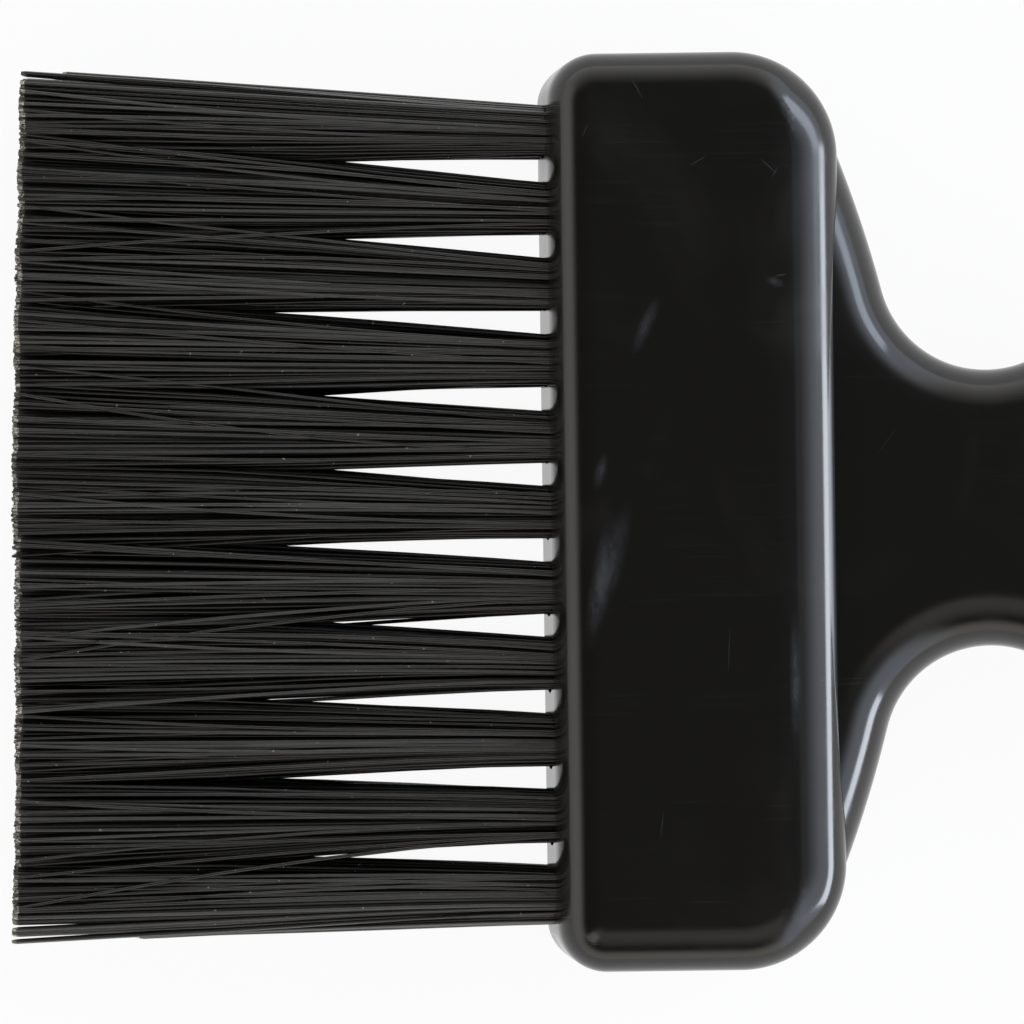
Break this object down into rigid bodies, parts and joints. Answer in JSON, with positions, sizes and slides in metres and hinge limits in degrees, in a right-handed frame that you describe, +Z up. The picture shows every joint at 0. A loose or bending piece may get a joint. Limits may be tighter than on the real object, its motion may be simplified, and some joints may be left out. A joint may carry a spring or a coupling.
{
  "type": "tint brush",
  "caption": "Wide hair tint brush: a moulded head and flat handle in one piece, with a double row of nylon tufts held by wire anchors.",
  "frame": {"origin": "middle of the head's flat underside, on which the brush lies", "axes": "+X along the brush, from the bristle tips towards the handle's tail; +Y across the head; +Z up, away from the surface it lies on"},
  "size_m": [0.2149, 0.06, 0.014],
  "materials": {
    "moulding": "glossy black, lightly scratched",
    "bristles": "black nylon filament, cut ends pale",
    "anchor_wire": "bright flat wire"
  },
  "bodies": {
    "root": {"moulded_body": "moulding", "tuft_lower_01": "bristles", "tuft_lower_02": "bristles", "tuft_lower_03": "bristles", "tuft_lower_04": "bristles", "tuft_lower_05": "bristles", "tuft_lower_06": "bristles", "tuft_lower_07": "bristles", "tuft_lower_08": "bristles", "tuft_lower_09": "bristles", "tuft_lower_10": "bristles", "tuft_lower_11": "bristles", "tuft_upper_01": "bristles", "tuft_upper_02": "bristles", "tuft_upper_03": "bristles", "tuft_upper_04": "bristles", "tuft_upper_05": "bristles", "tuft_upper_06": "bristles", "tuft_upper_07": "bristles", "tuft_upper_08": "bristles", "tuft_upper_09": "bristles", "tuft_upper_10": "bristles", "tuft_upper_11": "bristles", "anchor_lower_01": "anchor_wire", "anchor_lower_02": "anchor_wire", "anchor_lower_03": "anchor_wire", "anchor_lower_04": "anchor_wire", "anchor_lower_05": "anchor_wire", "anchor_lower_06": "anchor_wire", "anchor_lower_07": "anchor_wire", "anchor_lower_08": "anchor_wire", "anchor_lower_09": "anchor_wire", "anchor_lower_10": "anchor_wire", "anchor_lower_11": "anchor_wire", "anchor_upper_01": "anchor_wire", "anchor_upper_02": "anchor_wire", "anchor_upper_03": "anchor_wire", "anchor_upper_04": "anchor_wire", "anchor_upper_05": "anchor_wire", "anchor_upper_06": "anchor_wire", "anchor_upper_07": "anchor_wire", "anchor_upper_08": "anchor_wire", "anchor_upper_09": "anchor_wire", "anchor_upper_10": "anchor_wire", "anchor_upper_11": "anchor_wire"}
  },
  "joints": []
}
